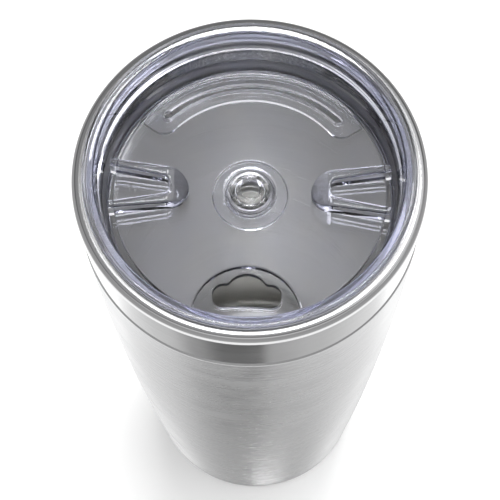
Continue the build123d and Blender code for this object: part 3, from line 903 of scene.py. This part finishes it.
@dataclass
class SwivelDisc:
    """Clear disc with the notch, the curved slot, two finger grips, the ring and the pivot pin."""

    radius: float = 39.8
    under_z: float = 180.6
    top_z: float = 183.0
    edge: float = 0.3
    boss_radius: float = 10.8
    boss_z: float = 178.7
    seat: Point = (7.1, 180.35)
    shaft: float = 5.4
    hollow: float = 4.4
    notch_radius: float = 15.6
    notch_y: float = -38.9
    land: Point = (30.9, 39.4)
    land_z: float = 179.0
    land_half: float = 55.2
    slot_radius: float = 35.3
    slot_half: float = 1.55
    land_corner: float = 4.2
    notch_edge: float = 0.6
    slot_half_angle: float = 45.5
    root: float = 1.2           # how deep the land and the grips reach into the plate
    grip_top_z: float = 188.0
    nose_x: float = 23.5
    nose_radius: float = 5.8
    rib_rounding: float = 0.85
    rib_angle: float = 7.1      # degrees that a rib's outer side opens
    pocket_angle: float = 10.6  # the same, inner side
    pocket_half: float = 2.4
    grip_reach: float = 41.3
    crown_z: float = 185.3
    crown_foot_z: float = 183.6
    crown_radius: float = 5.6
    crown_base: float = 8.0
    crown_bulge: Point = (6.55, 184.35)     # halfway up its hollow flank
    dimple: Point = (2.8, 3.3)  # radii of its floor and its rim
    dimple_depth: float = 0.5
    roof: float = 1.6           # from the crown's top to the hollow
    barb: float = 1.0
    barb_z: Point = (175.65, 176.15)
    pin_foot_z: float = 173.75
    pin_foot: float = 5.15
    slit: tuple[float, float, float] = (16.0, 1.0, 5.85)
    slit_z: float = 175.675     # its middle
    slack: float = 0.02

    def plate_mesh(self) -> Mesh:
        """Turns the plate with the bearing boss under its hub."""
        section = Outline(Plane.SECTION)
        section.to(self.shaft, self.seat[1]).to(self.shaft, self.top_z, 0.1, 2)
        for z in (self.top_z, self.under_z):
            section.to(self.radius, z, self.edge * 1.5, 6)
        section.to(self.boss_radius, self.under_z, 0.35, 4).to(self.boss_radius, self.boss_z, 0.12, 3)
        section.to(self.seat[0], self.boss_z, 0.2, 3).to(*self.seat)
        return section.turned()

    def land_mesh(self) -> Mesh:
        """Raises the crescent under the back of the disc."""
        inner, outer = self.land
        low, high = 90 - self.land_half, 90 + self.land_half
        corner, ease = self.land_corner, 8.4
        land = Outline(Plane.LEVEL)
        land.to(*polar(outer, low)).arc(polar(outer, 90), polar(outer, high), 72)
        land.to(*polar(inner, high), corner, 8).to(*polar(inner, high - ease))
        land.arc(polar(inner, 90), polar(inner, low + ease), 60)
        land.to(*polar(inner, low), corner, 8)
        return land.raised(rounded_levels(self.land_z, self.top_z - self.root, 0.25))

    def grip_mesh(self) -> Mesh:
        """Shapes one finger grip on the +X side: two ribs that meet in a sloping nose."""
        start = polar(self.nose_radius, 90 + self.rib_angle)
        nose, pocket = (self.nose_x + start[0], start[1]), (self.nose_x, self.pocket_half)
        outer = rib_end(nose, self.rib_angle, self.grip_reach)
        inner = rib_end(pocket, self.pocket_angle, self.grip_reach)
        grip = Outline(Plane.LEVEL)
        grip.to(*nose).arc((self.nose_x - self.nose_radius, 0.0), (nose[0], -nose[1]), 28)
        grip.to(outer[0], -outer[1]).to(inner[0], -inner[1])
        grip.to(pocket[0], -pocket[1], 1.3).to(*pocket, 1.3).to(*inner).to(*outer)
        bm = grip.raised(rounded_levels(self.top_z - self.root, self.grip_top_z, 0.0, self.rib_rounding, 6))
        tip = self.nose_x - self.nose_radius
        cuts, pitch = 15, 0.5
        for cut in range(1, cuts + 1):
            bmesh.ops.bisect_plane(
                bm, geom=bm.verts[:] + bm.edges[:] + bm.faces[:], dist=MM * 0.001,
                plane_co=Vector((tip + cut * pitch, 0, 0)) * MM, plane_no=(1, 0, 0),
            )
        for vert in bm.verts:
            if vert.co.z > (self.grip_top_z - self.rib_rounding - 0.05) * MM:
                vert.co.z -= self.nose_drop(vert.co.x / MM - tip) * MM
        bmesh.ops.triangulate(bm, faces=bm.faces[:])
        bmesh.ops.recalc_face_normals(bm, faces=bm.faces[:])
        return bm

    @staticmethod
    def nose_drop(along: float) -> float:
        """How far a grip's top is below full height, at a distance from its tip."""
        drop, run, ease_from, ease_to = 3.6, 5.2, 0.7, 1.3
        share = min(along / run, ease_to)
        return drop * (1 - share if share < ease_from else (ease_to - share) ** 2 / (ease_to - ease_from) / 2)

    def disc_mesh(self) -> Mesh:
        """Joins the plate, the crescent and the grips, and cuts the notch and the slot."""
        disc = joined(self.plate_mesh(), self.land_mesh(), Join.ADD)
        for turn in (0, 180):
            grip = self.grip_mesh()
            bmesh.ops.rotate(grip, verts=grip.verts[:], cent=(0, 0, 0), matrix=Matrix.Rotation(radians(turn), 3, "Z"))
            disc = joined(disc, grip, Join.ADD)
        r, y = self.notch_radius, self.notch_y
        notch = Outline(Plane.LEVEL)
        notch.to(r, y).arc((0.0, y + r), (-r, y), 64).arc((0.0, y - r), (r * 0.995, y - r * 0.0998), 40)
        disc = joined(disc, notch.raised(cutter_levels(self.under_z, self.top_z, self.notch_edge)), Join.CUT)
        reach = self.slot_half_angle
        slot = curved_slot(self.slot_radius, self.slot_half, 90 - reach, 90 + reach, 64, 12)
        return joined(disc, slot.raised(cutter_levels(self.land_z, self.top_z, 0.1)), Join.CUT)

    def pin_mesh(self) -> Mesh:
        """Turns the hollow snap pin and slits its foot."""
        seat_z, shaft, outer = self.top_z + self.slack, self.shaft - self.slack, self.shaft + self.barb
        crown, step, foot_z = self.crown_z, self.crown_foot_z, self.pin_foot_z
        barb_low, barb_high = self.barb_z
        pin = Outline(Plane.SECTION)
        pin.to(0.0, crown - self.dimple_depth).to(self.dimple[0], crown - self.dimple_depth, 0.25, 3)
        pin.to(self.dimple[1], crown, 0.25, 3).to(self.crown_radius, crown, 0.35, 4)
        pin.to(self.crown_radius + 0.2, crown - 0.25).arc(self.crown_bulge, (self.crown_base - 0.25, step + 0.05), 10)
        pin.to(self.crown_base, step, 0.15, 2).to(self.crown_base, seat_z, 0.1, 2).to(shaft, seat_z)
        pin.to(shaft, barb_high).to(outer, barb_high, 0.15, 2).to(outer, barb_low, 0.2, 2)
        pin.to(self.pin_foot, foot_z, 0.2, 3).to(self.hollow, foot_z, 0.2, 3)
        pin.to(self.hollow, crown - self.roof, 0.5, 4).to(0.0, crown - self.roof)
        slit = bmesh.new()
        bmesh.ops.create_cube(slit, size=1.0)
        bmesh.ops.scale(slit, vec=Vector(self.slit) * MM, verts=slit.verts[:])
        bmesh.ops.translate(slit, vec=(0, 0, self.slit_z * MM), verts=slit.verts[:])
        return joined(pin.turned(closed=False), slit, Join.CUT)

    def ring_mesh(self) -> Mesh:
        """Turns the silicone ring that gives the swivel its drag."""
        inner, outer, high = self.shaft + self.slack, self.seat[0] - self.slack, self.seat[1] - self.slack
        low = self.boss_z - 0.03
        section = Outline(Plane.SECTION)
        section.to(inner, low, 0.2, 3).to(outer, low, 0.5, 4).to(outer, high, 0.2, 3).to(inner, high, 0.2, 3)
        return section.turned()

    def build(self) -> None:
        """Makes the disc's pieces."""
        clear = ClearMoulding("clear_disc", rough_high=0.02).material()
        pin = ClearMoulding("clear_pin", (0.99, 0.99, 0.995), 1.40, 0.07, 0.13, density=15.0).material()
        silicone = ClearMoulding("clear_ring", (0.95, 0.96, 0.98), 1.41, 0.12, 0.22, waves=0.00002, density=20.0)
        finished("disc_plate", self.disc_mesh(), "disc", "swivel_disc", [clear])
        finished("hub_ring", self.ring_mesh(), "disc", "pivot_ring", [silicone.material()])
        finished("hub_pin", self.pin_mesh(), "disc", "pivot_pin", [pin])


def rib_end(start: Point, spread: float, reach: float) -> Point:
    """Where a rib's side meets the reach circle.

    Args:
        start: where the side starts.
        spread: degrees that it opens away from +X.
        reach: radius of the circle.

    Returns:
        The point on the circle.
    """
    dx, dy = polar(1.0, spread)
    along = start[0] * dx + start[1] * dy
    length = -along + sqrt(along ** 2 + reach ** 2 - start[0] ** 2 - start[1] ** 2)
    return start[0] + dx * length, start[1] + dy * length


# ---- studio


@dataclass(frozen=True)
class Studio:
    """Camera, white surroundings with dark flags low down, and the floor."""

    aim: Point = (-0.0005, 0.1401)      # x and z of the point the camera looks at
    distance: float = 0.6145
    pitch: float = 67.01
    turn: float = 3.4
    roll: float = -1.705
    lens: float = 142.57
    sensor: float = 36.0
    clip: Point = (0.01, 20.0)
    floor_size: float = 6.0
    bounces: tuple[int, int, int] = (20, 16, 8)     # in all, through clear pieces, and off steel
    card: tuple[Point, ...] = (         # heading and brightness, straight below
        (-180, 0.3), (-160, 0.5), (-145, 1.25), (-115, 0.85), (-75, 0.66), (-50, 0.36), (-26, 0.16),
        (6, 0.14), (20, 0.45), (60, 0.60), (115, 0.85), (145, 1.25), (160, 0.6), (180, 0.3),
    )
    card_end: Point = (72.5, 69.5)      # degrees below the horizon over which the card ends
    nadir_level: float = 0.52           # the card's brightness straight down
    nadir_span: Point = (76.5, 85.0)    # degrees below the horizon over which it changes to that
    boxes: tuple[tuple[Point, Point, float], ...] = (   # softboxes: across, deep, brightness
        ((-0.14, 0.08), (0.06, 0.34), 22.0),
        ((0.14, 0.25), (0.15, 0.46), 18.0),
        ((0.32, 1.5), (-0.4, 0.8), 2.3),
    )
    sky: tuple[Point, ...] = (          # elevation and brightness, above the card
        (-60, 1.35), (-38, 1.3), (-26, 0.5), (26, 0.42), (50, 0.95), (70, 1.05), (88, 1.05),
    )

    def camera(self) -> None:
        """Places the camera."""
        data = bpy.data.cameras.new("studio_camera")
        data.lens, data.sensor_width = self.lens, self.sensor
        data.clip_start, data.clip_end = self.clip
        eye = bpy.data.objects.new("studio_camera", data)
        bpy.context.scene.collection.objects.link(eye)
        eye.matrix_world = (
            Matrix.Rotation(radians(self.turn), 4, "Z")
            @ Matrix.Translation((self.aim[0], 0, self.aim[1]))
            @ Matrix.Rotation(radians(90 - self.pitch), 4, "X")
            @ Matrix.Rotation(radians(self.roll), 4, "Z")
            @ Matrix.Translation((0, 0, self.distance))
        )
        bpy.context.scene.camera = eye

    def surroundings(self) -> None:
        """Builds the world: white overhead, grey at the horizon, a white ring of floor, and a graded card below."""
        world = bpy.data.worlds.new("studio_world")
        bpy.context.scene.world = world
        world.use_nodes = True
        graph = Graph(world.node_tree)
        way = graph.node("SeparateXYZ", {0: graph.node("TexCoord").outputs["Generated"]}).outputs
        heading = graph.math("ARCTAN2", way["X"], graph.math("MULTIPLY", way["Y"], -1.0))
        below = graph.graded(
            graph.spread(heading, 0.0, 1.0, -pi, pi), [(degrees / 360 + 0.5, level) for degrees, level in self.card]
        )
        above = graph.graded(
            graph.spread(way["Z"], 0.0, 1.0, -1.0, 1.0),
            [(sin(radians(degrees)) / 2 + 0.5, level) for degrees, level in self.sky],
        )
        deepest, lift = (
            graph.spread(way["Z"], 0.0, 1.0, -sin(radians(start)), -sin(radians(end)), eased=True)
            for start, end in (self.nadir_span, self.card_end)
        )
        colour = graph.blend(lift, graph.blend(deepest, below, (self.nadir_level,) * 3), above)
        for across, deep, level in self.boxes:
            colour = graph.blend(self.softbox(graph, way, across, deep), colour, (level,) * 3)
        light = graph.node("Background", {"Color": colour})
        graph.node("OutputWorld", {"Surface": light.outputs[0]})

    @staticmethod
    def softbox(graph: Graph, way: Mapping[str, Socket], across: Point, deep: Point) -> Socket:
        """Shapes a level softbox overhead.

        Args:
            graph: the world's tree.
            way: the direction's three parts.
            across: its left and right edges, as x over height.
            deep: its near and far edges, as y over height.

        Returns:
            1 inside the softbox, 0 outside, with soft edges.
        """
        soft, lowest = 0.01, 0.05
        height = graph.math("MAXIMUM", way["Z"], lowest)
        whole = None
        for axis, (low, high) in (("X", across), ("Y", deep)):
            slope = graph.math("DIVIDE", way[axis], height)
            for start, end in ((low - soft, low), (high + soft, high)):
                side = graph.spread(slope, 0.0, 1.0, start, end, eased=True)
                whole = side if whole is None else graph.math("MULTIPLY", whole, side)
        return whole

    def floor(self) -> None:
        """Lays the floor; the steel reflects the surroundings instead of it."""
        bm = bmesh.new()
        bmesh.ops.create_grid(bm, x_segments=1, y_segments=1, size=self.floor_size / 2)
        ground = as_object("studio_floor", bm)
        ground.data.materials.append(PaleFloor().material())
        ground.visible_glossy = False

    def build(self) -> None:
        """Sets the stage."""
        self.camera()
        self.surroundings()
        self.floor()
        scene = bpy.context.scene
        scene.view_settings.view_transform = "Standard"
        scene.cycles.max_bounces, scene.cycles.transmission_bounces, scene.cycles.glossy_bounces = self.bounces


def main() -> None:
    """Builds the studio and every piece."""
    logging.basicConfig(level=logging.INFO, format="%(name)s: %(message)s")
    Studio().build()
    Cup().build()
    Lid().build()
    SwivelDisc().build()


if __name__ == "__main__":
    main()
